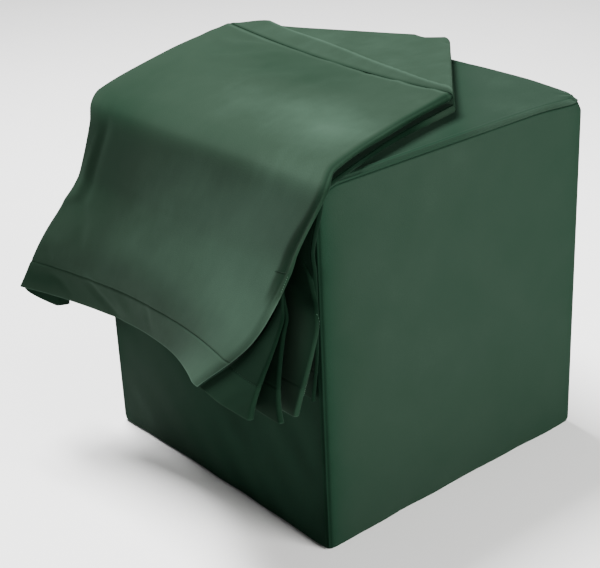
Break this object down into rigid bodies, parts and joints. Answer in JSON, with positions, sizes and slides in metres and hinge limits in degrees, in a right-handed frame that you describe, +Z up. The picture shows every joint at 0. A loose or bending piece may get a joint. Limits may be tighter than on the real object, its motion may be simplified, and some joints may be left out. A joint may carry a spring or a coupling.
{
  "type": "cube pouf stool with its slipcover folded over one edge",
  "caption": "Velvet cube pouf stool with a padded top, and its own loose slipcover folded flat and laid over the front edge of the top.",
  "frame": {"origin": "centre of the pouf's underside, on the floor", "axes": "+Z up, -Y out of the face that the slipcover hangs over, +X to that face's right"},
  "size_m": [0.5232, 0.5652, 0.4938],
  "materials": {
    "pouf_velvet": "short-pile velvet, dull with a soft sheen at grazing angles",
    "cover_velvet": "short-pile velvet, dull with a soft sheen at grazing angles"
  },
  "bodies": {
    "root": {"pouf_body": "pouf_velvet", "pouf_top_panel": "pouf_velvet", "cover_front_panel": "cover_velvet", "cover_back_panel": "cover_velvet", "cover_left_side_panel": "cover_velvet", "cover_right_side_panel": "cover_velvet", "cover_top_panel": "cover_velvet"}
  },
  "joints": []
}
